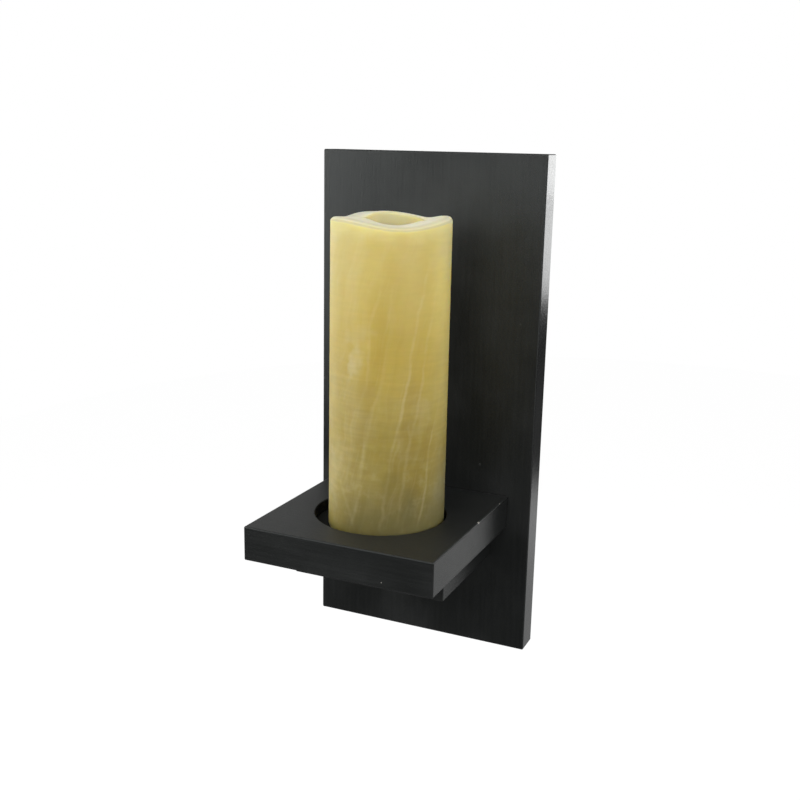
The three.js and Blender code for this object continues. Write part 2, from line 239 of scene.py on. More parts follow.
def makeEdgeGroup(look):
    # Marks the eased edges of a board: the second smallest distance to the faces of its box is small there.
    sizes = {"Centre": (0, 0, 0), "Half Size": (1, 1, 1), "Width": 0.001, "Breakup": 0.5}
    tree, given, result = newGroup("boardEdges", sizes, ["Mask"])
    place = objectPlace(tree)
    inner = vectorCalc("ABSOLUTE", vectorCalc("SUBTRACT", place, given["Centre"]))
    x, y, z = split(vectorCalc("SUBTRACT", given["Half Size"], inner))
    larger = calc("MINIMUM", calc("MAXIMUM", x, y), z)
    second = calc("MAXIMUM", calc("MINIMUM", x, y), larger)
    line = ramp(1.0 - second / given["Width"], 0.0, 1.0)
    broken = ramp(noiseAt(place, *look["edgeNoise"]), *look["edgeBreaks"])
    (line * (1.0 - given["Breakup"] * broken)).into(result["Mask"])
    return tree


def makeGrainGroup(look):
    # Fine grain, stretched along an axis: orange peel, fibres, rolled metal or machining marks.
    sizes = {"Stretch": (1, 1, 1), "Scale": 500.0, "Patch Scale": 20.0, "Detail": 3.0}
    tree, given, result = newGroup("fineGrain", sizes, ["Height", "Patches"])
    place = vectorCalc("MULTIPLY", objectPlace(tree), given["Stretch"])
    noiseAt(place, given["Scale"], given["Detail"]).into(result["Height"])
    patches = noiseAt(place, given["Patch Scale"], look["patchDetail"])
    ramp(patches, *look["patchRange"]).into(result["Patches"])
    return tree


def makeSpeckGroup():
    # Sparse round specks of dust or filler, each of its own size.
    tree, given, result = newGroup("specks", {"Scale": 120.0, "Amount": 0.2, "Size": 0.12}, ["Mask"])
    cells = wires(tree, "ShaderNodeTexVoronoi", {"Vector": objectPlace(tree), "Scale": given["Scale"]})
    draws = wires(tree, "ShaderNodeSeparateColor", {0: cells["Color"]})
    chosen = calc("LESS_THAN", draws["Red"], given["Amount"])
    near = calc("LESS_THAN", cells["Distance"], given["Size"] * draws["Green"])
    (chosen * near).into(result["Mask"])
    return tree


def makeSpotGroup(look):
    # One soft spot around a place, with a ragged border.
    tree, given, result = newGroup("spot", {"Place": (0, 0, 0), "Radius": 0.001, "Ragged": 0.5}, ["Mask"])
    place = objectPlace(tree)
    share = vectorCalc("DISTANCE", place, given["Place"]) / given["Radius"]
    share = swing(place, *look["spotNoise"], given["Ragged"]) + share
    ramp(share, *look["spotFade"]).into(result["Mask"])
    return tree


groups = {
    "edges": makeEdgeGroup(groupLook),
    "grain": makeGrainGroup(groupLook),
    "specks": makeSpeckGroup(),
    "spot": makeSpotGroup(groupLook),
}


def newMaterial(name, **fixed):
    material = bpy.data.materials.new(name)
    material.use_nodes = True
    tree = material.node_tree
    sockets = tree.nodes["Principled BSDF"].inputs
    for socketName, value in spaced(fixed).items():
        sockets[socketName].default_value = value
    return material, tree, sockets


def addBump(sockets, height, distance):
    wire(height.tree, "ShaderNodeBump", {"Height": height, "Distance": distance}).into(sockets["Normal"])


# Black paint on the three boards, with painted shade along the eased edges and inside the shelf's recess
paintLook = {
    "black": colour(0.0093, 0.0100, 0.0098),
    "faded": colour(0.0168, 0.0176, 0.0172),
    "dust": colour(0.075, 0.078, 0.076),
    "fibre": colour(0.55, 0.53, 0.48),
    "bare": colour(0.003, 0.003, 0.003),  # painted shade: a near-black tone along the eased edges and inside the recess
    "sheen": colour(0.95, 1.0, 0.985),  # slight tint of what the paint mirrors
    "edgeWidth": 0.0011,
    "edgeBreakup": 0.4,
    "turned": (0.75, 0.97),  # shares of the normal between which a face becomes a side or a top
    "topShare": 0.8,
    "roughTops": 0.51,
    "roughEdges": 0.85,
    "roughInRecess": 1.0,
    "woodScales": (1100.0, 420.0),  # of the fibres and of their patches
    "woodShare": 0.3,
    "woodGrain": 0.035,
    "peelScales": (1500.0, 14.0),
    "peelHeight": 0.00006,
    "dustScale": 160.0,
    "dustAmount": 0.05,
    "dustShare": 0.35,
    "dustHeight": 0.6,
    "chipRagged": 0.8,
}
boardLooks = {  # chips are places of chipped paint and their radius
    "back_plate": {"name": "backPlate", "grain": (1, 1, 0.05), "rough": (0.33, 0.46), "roughSides": 0.13},
    "shelf_board": {
        "name": "shelfBoard", "grain": (0.05, 1, 1), "rough": (0.36, 0.50), "roughSides": 0.27,
        "chips": [
            ((0.0657, -0.0783, -0.1850), 0.0010),
            ((0.0657, -0.0366, -0.1850), 0.0006),
            ((0.0525, -0.0196, -0.1852), 0.0006),
            ((0.0320, -0.1551, -0.2042), 0.00031),
        ],
    },
    "support_board": {
        "name": "supportBoard", "grain": (0.05, 1, 1), "rough": (0.36, 0.50), "roughSides": 0.27,
    },
}


def paintMaterial(node, board, look, recess):
    low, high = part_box(node)
    material, tree, sockets = newMaterial("blackPaint_" + node, IOR=1.5, Specular_Tint=look["sheen"])
    edges = useGroup(
        tree, groups["edges"], Centre=(low + high) / 2, Half_Size=(high - low) / 2,
        Width=look["edgeWidth"], Breakup=look["edgeBreakup"],
    )["Mask"]
    peel = grainOf(tree, (1, 1, 1), *look["peelScales"])
    wood = grainOf(tree, board["grain"], *look["woodScales"])
    dust = useGroup(tree, groups["specks"], Scale=look["dustScale"], Amount=look["dustAmount"])["Mask"]
    patches = wood["Patches"] * look["woodShare"] + peel["Patches"] * (1 - look["woodShare"])
    tone = mixColour(patches, look["black"], look["faded"])
    tone = mixColour(dust * look["dustShare"], tone, look["dust"])
    # Painted shade: the eased edges get a near-black tone, a painted shadow line along them
    tone = mixColour(edges, tone, look["bare"])
    facing = facingOf(tree)
    rough = ramp(peel["Patches"], 0.0, 1.0, *board["rough"])
    rough = (wood["Patches"] - 0.5) * look["woodGrain"] + rough
    rough = mixNumber(edges, rough, look["roughEdges"])
    rough = mixNumber(ramp(abs(facing[0]), *look["turned"]), rough, board["roughSides"])
    rough = mixNumber(ramp(facing[2], *look["turned"], 0.0, look["topShare"]), rough, look["roughTops"])
    # Painted shade inside the shelf's recess: near-black and matt there, as deep shadow
    if node == recess["node"]:
        place = objectPlace(tree)
        centre = recess["centre"]
        inside = calc("LESS_THAN", offAxis(vectorCalc("SUBTRACT", place, centre)), recess["reach"])
        inside = inside * ramp(split(place)[2], centre.z, centre.z - recess["fade"])
        tone = mixColour(inside, tone, look["bare"])
        rough = mixNumber(inside, rough, look["roughInRecess"])
    for place, radius in board.get("chips", []):
        chip = useGroup(tree, groups["spot"], Place=place, Radius=radius, Ragged=look["chipRagged"])
        tone = mixColour(chip["Mask"], tone, look["fibre"])
    tone.into(sockets["Base Color"])
    rough.into(sockets["Roughness"])
    addBump(sockets, dust * look["dustHeight"] + (peel["Height"] + wood["Height"]), look["peelHeight"])
    return material


# The onyx pillar: a dished top inside a rim that is carved like melted wax
pillarShape = {
    "height": 203 * mm,
    "topRadius": 38.25 * mm,
    "footChamfer": 1 * mm,
    "wellRadius": 20.5 * mm,
    "wellDepth": 36 * mm,
    "wellFloorEdge": 1.2 * mm,
    "rimEdge": 3 * mm,
    "mouthEdge": 1.5 * mm,
    "rimBlend": 14 * mm,
    "unevenness": 0.2 * mm,
    "unevenScale": 45.0,
    "seed": (1.7, 0.2, 3.1),
    "segments": 240,
    "rowStep": 1.6 * mm,
    "lobes": [  # direction in degrees from +X, spread in degrees, lift in metres
        (-54, 30, -4.2 * mm),
        (30, 17, 0.3 * mm),
        (72, 15, -3.7 * mm),
        (135, 16, 0.4 * mm),
        (172, 12, -1.9 * mm),
        (-160, 22, -1.3 * mm),
    ],
    "innerLobes": [  # the same, for carving that fades from the mouth to the outside of the rim
        (24, 21, -2.8 * mm),
        (-84, 14, -0.6 * mm),
        (118, 26, 1.0 * mm),
        (73, 14, 3.0 * mm),
    ],
    "outerLobes": [  # the same, for carving that fades from the outside to the mouth
        (-60, 30, -0.9 * mm),
    ],
    "innerFade": (23.5 * mm, 33 * mm),
    "outerFade": (25 * mm, 37 * mm),
}
# Honey onyx. The layers of the stone lean, so that their lines run from the upper right to the lower left of
# the side that faces the room. It is paler at the rim, and darker and greyer towards the foot: partly the
# stone's own colour, partly painted light from above and painted shade from the dark shelf and plate.
onyxLook = {
    "pale": colour(0.650, 0.530, 0.165),
    "honey": colour(0.590, 0.450, 0.090),
    "amber": colour(0.505, 0.370, 0.058),
    # foot: dark tone of the stone low down, also the colour of the painted shade towards the foot and of the
    # turning marks
    "foot": colour(0.118, 0.098, 0.022),
    "grey": colour(0.210, 0.210, 0.120),
    "cream": colour(0.740, 0.660, 0.380),
    "white": colour(0.700, 0.665, 0.455),
    # The rim's white, toned by facing and side: rimWhite on the flat top, lipShade a painted shade that tames
    # the lip's highlight,
    # wallWhite painted light on the outer wall's top band and painted shade inside the well, farShade painted
    # shade away from the room
    "rimWhite": colour(0.900, 0.870, 0.670),
    "lipShade": colour(0.540, 0.505, 0.330),
    "wallWhite": colour(0.750, 0.690, 0.310),
    "farShade": colour(0.665, 0.690, 0.560),
    # limbLight: the tone of a painted light along the right edge of the side that faces the room
    "limbLight": colour(0.860, 0.710, 0.215),
    "layerTurn": -65.0,  # degrees from +X, direction of the side that faces the room
    "layerLean": 10.0,  # degrees from upright
    "layerStretch": (0.25, 0.08),  # inward and upward, against 1 across the layers
    "layerWander": (22.0, 2.0, 0.020),  # scale, detail and reach
    "leftTurn": -145.0,  # the lit side, where the painted shade towards the foot is weaker
    "leftFade": (60.0, 10.0, 1.0, 0.50),  # degrees to both sides, and the share of the painted shade there
    "rightFade": (20 * mm, 34 * mm),  # distance to the right of the axis
    "limbFade": (28 * mm, 37 * mm),
    "seam": 104.0,  # height of a healed crack, in millimetres
    "seamWander": (26.0, 2.0, 22.0),
    "seamBelow": (1.0, -3.0, 0.0, 0.06),
    "seamLine": (2.0, 0.0, 0.0, 0.03),
    "raggedNoise": (80.0, 3.0),
    "veinSway": (70.0, 3.0, 7.0),  # scale, detail, and reach in degrees
    "cloudSquash": (1, 1, 0.8),
    "cloudRagged": 0.034,
    "rimShare": 0.85,
    "rimHeights": (190.0, 205.0),
    "rimRagged": 8.0,
    "mouthFade": (0.2 * mm, 2.5 * mm, 0.65, 1.0),  # outside the well's wall
    "lipSlopes": (0.92, 0.60),  # upward shares of the normal, from the flat top to the lip, where the lip's painted shade sets in
    "lipFade": (29 * mm, 36 * mm, 0.0, 0.62),
    "wallSlopes": (0.40, 0.10),
    "farFade": (-5 * mm, -25 * mm),
    "markStretch": (0.13, 0.13, 1.0),
    "markScales": (620.0, 420.0),
    "markHeight": 0.000012,
    "roughNoise": (30.0, 1.0),
    "roughness": (0.3, 0.7, 0.46, 0.54),
    "rimRoughness": 0.9,
    "glowDepth": 12 * mm,  # how far red light travels in the stone
}
onyxPatterns = {  # coordinates, scale, detail and roughness of noise, and the range of it that counts
    "broad": ("layers", 60.0, 2.0, 0.5, 0.35, 0.65),
    "streaks": ("layers", 190.0, 3.0, 0.6, 0.48, 0.72),
    "fine": ("layers", 520.0, 3.0, 0.6, 0.50, 0.75),
    "milk": ("local", 38.0, 3.0, 0.5, 0.42, 0.78),
    "mottle": ("local", 105.0, 4.0, 0.6, 0.48, 0.74),
    "dull": ("local", 30.0, 2.0, 0.5, 0.45, 0.65),
}
onyxTones = [  # tone, pattern or side, and its share, or two heights in millimetres and the share at each
    # Partly the stone's own darker foot, partly painted shade: darker towards the foot, less so on the lit
    # left side
    ("foot", "leftSide", 150.0, -70.0, 0.0, 1.0),
    ("grey", "dull", 80.0, 10.0, 0.0, 0.15),
    ("cream", "streaks", 0.11),
    ("cream", "fine", 0.08),
    ("cream", "milk", 0.08),
    ("cream", "mottle", 90.0, 15.0, 0.05, 0.19),
    # Painted light: a paler band along the right edge of the side that faces the room, as light through the
    # stone's edge
    ("pale", "rightSide", 60.0, 110.0, 0.0, 0.6),
    ("limbLight", "rightSide", 110.0, 160.0, 0.0, 0.55),
    ("grey", "rightSide", 50.0, 20.0, 0.0, 0.2),
    # Painted shade: darker at the right edge towards the foot
    ("foot", "limb", 75.0, 35.0, 0.0, 0.35),
    # Painted shade: much darker near the foot, by the dark shelf it stands in, less so on the lit left side
    ("foot", "leftSide", 42.0, 0.0, 0.0, 0.85),
]
onyxFades = {  # two heights in millimetres, and the share at each
    # pale: paler towards the rim, partly the stone's colour and partly painted light from above
    "pale": (115.0, 195.0, 0.0, 1.0),
    "veins": (130.0, 50.0, 0.85, 0.55),
    # footEdgeLight: a painted light line along the foot's chamfer, as its edge catching the light
    "footEdgeLight": (2.2, 0.6, 0.0, 0.35),
    "scratches": (150.0, 60.0, 0.045, 0.12),
    "rimRough": (190.0, 200.0, 0.0, 1.0),
    "relief": (130.0, 60.0, 0.15, 1.0),
}
onyxVeins = [  # width in degrees, share, and points of height in millimetres and direction in degrees
    (2.6, 0.32, [(9, -70.9), (29, -66.7), (64, -60.1), (92, -50.6), (114, -45.6), (141, -39.7),
                 (181, -25.6)]),
    (2.8, 0.22, [(11, -54.8), (27, -51.9), (60, -46.0), (90, -36.0), (117, -30.0), (140, -24.6),
                 (164, -14.5)]),
    (2.4, 0.30, [(10, -34.3), (23, -29.1), (41, -25.0), (60, -22.2), (85, -12.0)]),
    (3.2, 0.26, [(11, -99.8), (21, -95.8), (34, -92.3), (62, -86.6), (82, -81.1), (103, -70.6)]),
    (2.8, 0.24, [(100, -86.0), (117, -84.1), (134, -83.4), (152, -77.9), (165, -72.1), (178, -67.5)]),
    (3.6, 0.18, [(8, -97.0), (20, -104.2), (32, -112.5), (46, -119.0)]),
    (2.6, 0.30, [(90, -92.5), (98, -88.0), (104, -84.0)]),
    (2.2, 0.14, [(120, -72.0), (140, -68.0), (158, -63.0), (172, -58.0)]),
]
onyxClouds = [  # height in millimetres, direction in degrees, radius in millimetres, share, tone
    (128, -62.0, 46.0, 0.42, "amber"),
    # Painted highlight: these three small white clouds make the bright spot on the left of the side that
    # faces the room
    (134, -95.0, 9.0, 0.12, "white"),
    (117, -98.0, 8.0, 0.15, "white"),
    (111, -101.0, 7.0, 0.17, "white"),
    (45, -122.0, 20.0, 0.14, "white"),
    (98, -112.0, 40.0, 0.09, "white"),
    (186, -2.0, 22.0, 0.24, "white"),
    (88, -32.0, 14.0, 0.13, "white"),
    (76, -92.0, 16.0, 0.10, "cream"),
    (72, -72.0, 24.0, 0.14, "foot"),
    (168, -48.0, 34.0, 0.30, "honey"),
    (31, -40.0, 11.0, 0.22, "foot"),
    (17, -43.0, 9.0, 0.20, "foot"),
    (42, -61.0, 9.0, 0.12, "foot"),
    (34, 5.0, 22.0, 0.09, "white"),
]
veinLook = {
    "starts": (-4.0, 10.0),  # millimetres above its lowest point
    "ends": (-4.0, 16.0),
    "breaks": (0.36, 0.62, 0.45, 1.0),
}


def makeVeinGroup(look):
    # A thin line that wanders over the pillar, bright in its middle and ragged along its length.
    sizes = {"Direction": 0.0, "Middle": 0.0, "Height": 0.0, "Low": 0.0, "High": 100.0}
    sizes.update({"Width": 1.0, "Ragged": 0.5})
    tree, given, result = newGroup("vein", sizes, ["Mask"])
    line = ramp(abs(given["Direction"] - given["Middle"]) / given["Width"], 1.0, 0.0)
    starts = ramp(given["Height"] - given["Low"], *look["starts"])
    ends = ramp(given["High"] - given["Height"], *look["ends"])
    broken = ramp(given["Ragged"], *look["breaks"])
    ((line * broken) * (starts * ends)).into(result["Mask"])
    return tree


def veinCurve(share, points, shape):
    # Direction of a vein in degrees, at a share of the pillar's height
    curve = addNode(share.tree, "ShaderNodeFloatCurve", {"Value": share})
    line = curve.mapping.curves[0]
    places = [(high * mm / shape["height"], (degrees + 180) / 360) for high, degrees in points]
    for point, place in zip(line.points, places):
        point.location = place
    for place in places[2:]:
        line.points.new(*place)
    curve.mapping.extend = "HORIZONTAL"
    curve.mapping.update()
    return Wire(curve.outputs[0]) * 360.0 - 180.0


def wayTo(degrees):
    angle = math.radians(degrees)
    return Vector((math.cos(angle), math.sin(angle), 0))


def onyxMaterial(look, shape, axis, foot):
    material, tree, sockets = newMaterial(
        "honeyOnyx", IOR=1.5, Subsurface_Weight=1.0, Subsurface_Radius=(1.0, 0.75, 0.35),
        Subsurface_Scale=look["glowDepth"],
    )
    local = vectorCalc("SUBTRACT", objectPlace(tree), (axis.x, axis.y, foot))
    x, y, z = split(local)
    height = z / mm
    direction = calc("ARCTAN2", y, x) * (180 / math.pi)
    fades = {name: ramp(height, *values) for name, values in onyxFades.items()}

    # Layers: coordinates across them, along them and up, with a slow wander
    lean = math.radians(look["layerLean"])
    inward = wayTo(look["layerTurn"])
    rightward = wayTo(look["layerTurn"] + 90)
    across = rightward * math.cos(lean) - Vector((0, 0, math.sin(lean)))
    upward = across.cross(inward)
    depth = vectorCalc("DOT_PRODUCT", local, inward)
    layers = joined(
        vectorCalc("DOT_PRODUCT", local, across) + swing(local, *look["layerWander"]),
        depth * look["layerStretch"][0],
        vectorCalc("DOT_PRODUCT", local, upward) * look["layerStretch"][1],
    )
    spaces = {"local": local, "layers": layers}
    patterns = {
        name: ramp(noiseAt(spaces[space], scale, detail, roughness), low, high)
        for name, (space, scale, detail, roughness, low, high) in onyxPatterns.items()
    }
    fromLeft = calc("WRAP", direction - look["leftTurn"], 180.0, -180.0)
    patterns["leftSide"] = ramp(abs(fromLeft), *look["leftFade"])
    sideways = vectorCalc("DOT_PRODUCT", local, rightward)
    patterns["rightSide"] = ramp(sideways, *look["rightFade"])
    patterns["limb"] = ramp(sideways, *look["limbFade"])
    tone = mixColour(patterns["broad"], look["amber"], look["honey"])
    # Paler towards the rim: partly the stone's colour, partly painted light from above
    tone = mixColour(fades["pale"], tone, look["pale"])
    for toneName, patternName, *values in onyxTones:
        share = values[0] if len(values) == 1 else ramp(height, *values)
        tone = mixColour(patterns[patternName] * share, tone, look[toneName])

    # Healed crack: a faint light line around the pillar, above a slightly duller stretch
    fromSeam = swing(local, *look["seamWander"]) + height - look["seam"]
    tone = mixColour(ramp(fromSeam, *look["seamBelow"]), tone, look["grey"])
    tone = mixColour(ramp(abs(fromSeam), *look["seamLine"]), tone, look["cream"])

    ragged = noiseAt(local, *look["raggedNoise"])
    swaying = direction + swing(local, *look["veinSway"])
    heightShare = z / shape["height"]
    for width, share, points in onyxVeins:
        middle = veinCurve(heightShare, points, shape)
        vein = useGroup(
            tree, veinGroup, Direction=swaying, Middle=middle, Height=height, Low=float(points[0][0]),
            High=float(points[-1][0]), Width=width, Ragged=ragged,
        )
        tone = mixColour(vein["Mask"] * (fades["veins"] * share), tone, look["cream"])
    squash = Vector(look["cloudSquash"])
    squashed = vectorCalc("MULTIPLY", local, squash)
    for cloudHeight, degrees, radius, strength, toneName in onyxClouds:
        centre = (wayTo(degrees) * shape["topRadius"] + Vector((0, 0, cloudHeight * mm))) * squash
        away = (ragged - 0.5) * look["cloudRagged"] + vectorCalc("DISTANCE", squashed, centre)
        tone = mixColour(ramp(away, radius * mm, 0.0, 0.0, strength), tone, look[toneName])

    # Whiter stone at the rim, toned with painted light and shade by which way the surface faces and which
    # side it is on; a painted light line around the foot's edge; and the marks of turning
    outward = offAxis(local)
    mouthLow, mouthHigh, *mouthShares = look["mouthFade"]
    rim = ramp(ragged * look["rimRagged"] + height, *look["rimHeights"])
    rim = rim * ramp(outward, shape["wellRadius"] + mouthLow, shape["wellRadius"] + mouthHigh, *mouthShares)
    facingUp = facingOf(tree)[2]
    # Painted light and shade by facing: a darker lip, a lighter outer wall band, a darker well wall, and a
    # darker, greener far side
    lip = calc("MAXIMUM", ramp(facingUp, *look["lipSlopes"]), ramp(outward, *look["lipFade"]))
    rimTone = mixColour(lip, look["rimWhite"], look["lipShade"])
    rimTone = mixColour(ramp(facingUp, *look["wallSlopes"]), rimTone, look["wallWhite"])
    rimTone = mixColour(ramp(depth, *look["farFade"]), rimTone, look["farShade"])
    tone = mixColour(rim * look["rimShare"], tone, rimTone)
    # Painted light: a pale line along the foot's edge
    tone = mixColour(fades["footEdgeLight"], tone, look["cream"])
    marks = grainOf(tree, look["markStretch"], *look["markScales"])
    tone = mixColour(marks["Patches"] * fades["scratches"], tone, look["foot"])
    tone.into(sockets["Base Color"])
    rough = ramp(noiseAt(local, *look["roughNoise"]), *look["roughness"])
    mixNumber(fades["rimRough"], rough, look["rimRoughness"]).into(sockets["Roughness"])
    addBump(sockets, marks["Height"] * fades["relief"], look["markHeight"])
    return material


veinGroup = makeVeinGroup(veinLook)


# Finishes of the pieces that hold the sconce together, and of the tealight, by the name of their slot
metalLook = {
    "scales": (900.0, 90.0),
    "stains": (700.0, 0.3, 0.2),  # scale, amount and size
    "stainShare": 0.4,
    "roughReach": 0.18,
    "grainHeight": 0.00001,
}
zincStain = colour(0.45, 0.44, 0.40)
dullSheet = colour(0.50, 0.50, 0.49)
metals = {  # name, clean and stained tone, stretch of the grain, least roughness
    "zinc_steel": ("zincSteel", colour(0.62, 0.63, 0.64), zincStain, (1, 1, 1), 0.28),
    "zinc_sheet": ("zincSheet", dullSheet, zincStain, (1, 1, 0.08), 0.26),
    "thin_aluminium": ("thinAluminium", colour(0.58, 0.58, 0.59), dullSheet, (1, 1, 0.15), 0.32),
}
softLook = {
    "patchesPerGrain": 8,
    "detail": 5.0,
    "grainRange": (0.35, 0.65),
    "patchShare": 0.4,
    "roughReach": 0.06,
}
softStuffs = {  # name, light and dark tone, stretch and scale of the grain, roughness, grain height, rest
    "beech": (
        "beechWood", colour(0.62, 0.42, 0.24), colour(0.48, 0.29, 0.15),
        (1, 0.06, 1), 1400.0, 0.6, 0.00004, {},
    ),
    "white_wax": (
        "whiteWax", colour(0.86, 0.82, 0.74), colour(0.78, 0.73, 0.62), (1, 1, 1), 160.0, 0.42, 0.00006,
        {"Subsurface_Weight": 0.4, "Subsurface_Radius": (1.0, 0.85, 0.6), "Subsurface_Scale": 0.004},
    ),
    "cotton_wick": (
        "cottonWick", colour(0.80, 0.76, 0.66), colour(0.60, 0.55, 0.45),
        (1, 1, 0.3), 5000.0, 0.85, 0.00005, {"Sheen_Weight": 0.2},
    ),
    "black_felt": (
        "blackFelt", colour(0.045, 0.045, 0.048), colour(0.012, 0.012, 0.013),
        (1, 1, 0.4), 2600.0, 0.92, 0.0002, {"Sheen_Weight": 0.3},
    ),
}


def metalMaterial(look, name, clean, stained, stretch, rough):
    material, tree, sockets = newMaterial(name, Metallic=1.0)
    grain = grainOf(tree, stretch, *look["scales"])
    scale, amount, size = look["stains"]
    stains = useGroup(tree, groups["specks"], Scale=scale, Amount=amount, Size=size)["Mask"]
    tone = mixColour(grain["Patches"], clean, stained)
    mixColour(stains * look["stainShare"], tone, stained).into(sockets["Base Color"])
    ramp(grain["Patches"], 0.0, 1.0, rough, rough + look["roughReach"]).into(sockets["Roughness"])
    addBump(sockets, grain["Height"], look["grainHeight"])
    return material


def softMaterial(look, name, light, dark, stretch, scale, rough, grainHeight, fixed):
    material, tree, sockets = newMaterial(name, **fixed)
    grain = grainOf(tree, stretch, scale, scale / look["patchesPerGrain"], Detail=look["detail"])
    reach = look["roughReach"]
    tone = mixColour(ramp(grain["Height"], *look["grainRange"]), dark, light)
    mixColour(grain["Patches"] * look["patchShare"], tone, dark).into(sockets["Base Color"])
    ramp(grain["Patches"], 0.0, 1.0, rough - reach, rough + reach).into(sockets["Roughness"])
    addBump(sockets, grain["Height"], grainHeight)
    return material


# Geometry trees
unevenInputs = {"Unevenness": 0.0, "Uneven Scale": 100.0, "Seed": (0, 0, 0)}
placeInputs = {"Places": "NodeSocketObject", "Turn": (0, 0, 0), "Material": "NodeSocketMaterial"}


def newGeometryTree(name, *inputs):
    sizes = {"Geometry": "NodeSocketGeometry", "Segments": 64}
    for more in inputs:
        sizes.update(more)
    return newGroup(name, sizes, ["Geometry"], "GeometryNodeTree")


def pointPlace(tree):
    return wire(tree, "GeometryNodeInputPosition")


def moved(geometry, **how):
    return wire(geometry.tree, "GeometryNodeSetPosition", {"Geometry": geometry, **how})


def makeTurnedGroup():
    # Turns an outline, given as points in the XZ plane, around the Z axis.
    tree, given, result = newGeometryTree("turnedBody")
    outline = given["Geometry"]
    count = wire(tree, "GeometryNodeAttributeDomainSize", {0: outline}, "Point Count")
    sizes = {"Size X": 1.0, "Size Y": 1.0, "Vertices X": count, "Vertices Y": given["Segments"] + 1.0}
    sheet = wire(tree, "GeometryNodeMeshGrid", sizes, "Mesh")
    here = pointPlace(tree)
    x, y = split(here)[:2]
    row = calc("ROUND", (x + 0.5) * (count - 1.0))
    corner = wire(
        tree, "GeometryNodeSampleIndex", {"Geometry": outline, "Value": here, "Index": row},
        data_type="FLOAT_VECTOR", domain="POINT",
    )
    radius, height = split(corner)[::2]
    angle = (y + 0.5) * (2 * math.pi)
    body = moved(sheet, Position=joined(radius * calc("COSINE", angle), radius * calc("SINE", angle), height))
    wire(tree, "GeometryNodeMergeByDistance", {"Geometry": body, "Distance": 1e-6}).into(result["Geometry"])
    return tree


def turnedBody(tree, given):
    # The turned outline of a tree's input, and the angle, height and radius of its points
    body = useGroup(tree, turnedGroup, Geometry=given["Geometry"], Segments=given["Segments"])["Geometry"]
    here = pointPlace(tree)
    x, y, z = split(here)
    return body, calc("ARCTAN2", y, x), z, offAxis(here)


def radialMove(geometry, amount):
    # Moves every point away from the Z axis by an amount
    flat = vectorCalc("NORMALIZE", vectorCalc("MULTIPLY", pointPlace(geometry.tree), (1, 1, 0)))
    return moved(geometry, Offset=scaled(flat, amount))


def roughened(geometry, given):
    tree = geometry.tree
    place = vectorCalc("ADD", pointPlace(tree), given["Seed"])
    draw = wire(tree, "ShaderNodeTexNoise", {"Vector": place, "Scale": given["Uneven Scale"]}, "Color")
    shift = vectorCalc("SUBTRACT", draw, (0.5, 0.5, 0.5))
    return moved(geometry, Offset=scaled(shift, given["Unevenness"]))


def painted(geometry, given, result):
    real = wire(geometry.tree, "GeometryNodeRealizeInstances", {0: geometry})
    sizes = {"Geometry": real, "Material": given["Material"]}
    wire(geometry.tree, "GeometryNodeSetMaterial", sizes).into(result["Geometry"])


def placedAndPainted(geometry, given, result):
    places = wire(geometry.tree, "GeometryNodeObjectInfo", {"Object": given["Places"]}, "Geometry")
    sizes = {"Points": places, "Instance": geometry, "Rotation": given["Turn"]}
    painted(wire(geometry.tree, "GeometryNodeInstanceOnPoints", sizes), given, result)


def makeRingTree():
    # A turned piece with flutes or pleats around a stretch of it and slightly uneven faces, at each place
    flutes = {"Flutes": 0, "Flute Depth": 0.0, "Flute Low": 0.0, "Flute High": 1.0, "Flute Inside": 0.0}
    tree, given, result = newGeometryTree("turnedPiece", flutes, unevenInputs, placeInputs)
    body, angle, height, radius = turnedBody(tree, given)
    wave = (calc("COSINE", angle * given["Flutes"]) - 1.0) * (given["Flute Depth"] * 0.5)
    within = calc("GREATER_THAN", height, given["Flute Low"]) * calc("LESS_THAN", height, given["Flute High"])
    within = within * calc("GREATER_THAN", radius, given["Flute Inside"])
    placedAndPainted(roughened(radialMove(body, wave * within), given), given, result)
    return tree


turnedGroup = makeTurnedGroup()
ringTree = makeRingTree()
print("node groups made")


# Meshes
def linkedObject(name, mesh):
    made = bpy.data.objects.new(name, mesh)
    scene.collection.objects.link(made)
    return made


def pointsObject(name, points, edges=()):
    mesh = bpy.data.meshes.new(name)
    mesh.from_pydata([tuple(p) for p in points], edges, [])
    return linkedObject(name, mesh)


def cleaned(source, mesh, nearest, sharpDegrees, flatDegrees=None):
    # Merges doubles, turns the faces outward, and shades smooth up to an angle
    work = bmesh.new()
    work.from_mesh(source)
    bmesh.ops.remove_doubles(work, verts=work.verts, dist=nearest)
    if flatDegrees:
        bmesh.ops.dissolve_limit(
            work, angle_limit=math.radians(flatDegrees), verts=work.verts, edges=work.edges,
            use_dissolve_boundaries=False,
        )
    bmesh.ops.recalc_face_normals(work, faces=work.faces)
    work.to_mesh(mesh)
    work.free()
    mesh.shade_smooth()
    mesh.set_sharp_from_angle(angle=math.radians(sharpDegrees))


def applied(piece):
    # Replaces a piece's mesh by what its modifiers make of it, and removes them
    graph = bpy.context.evaluated_depsgraph_get()
    mesh = bpy.data.meshes.new_from_object(piece.evaluated_get(graph))
    piece.modifiers.clear()
    piece.data = mesh


def finished(piece, body, slotName, *nodes):
    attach(piece, body)
    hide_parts(*nodes)
    print("made", piece.name, len(piece.data.polygons), "faces")


